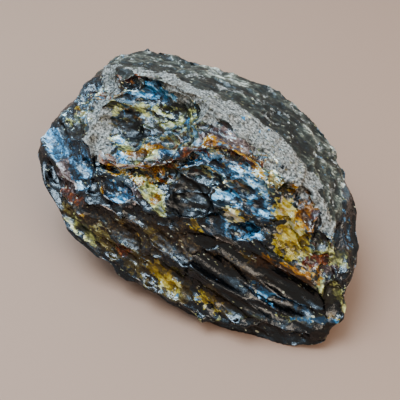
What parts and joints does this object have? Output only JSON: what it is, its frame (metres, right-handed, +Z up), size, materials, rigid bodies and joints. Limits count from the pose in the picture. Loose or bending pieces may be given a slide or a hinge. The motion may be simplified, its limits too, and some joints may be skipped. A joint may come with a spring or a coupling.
{
  "type": "raw amber piece",
  "caption": "Rough lump of blue amber with glassy shell-shaped fracture faces, honey-coloured patches and a dull crust along its top.",
  "frame": {"origin": "middle of the lump's box, on the plane that it rests on", "axes": "+Z up from the resting face, +X along the lump's longest side, towards its low, sharp-edged end"},
  "size_m": [0.136, 0.09, 0.0666],
  "materials": {
    "amber": "glassy broken resin, near-black with honey patches, see-through where thin, under a dull grey crust on top"
  },
  "bodies": {
    "root": {"amber_lump": "amber"}
  },
  "joints": []
}
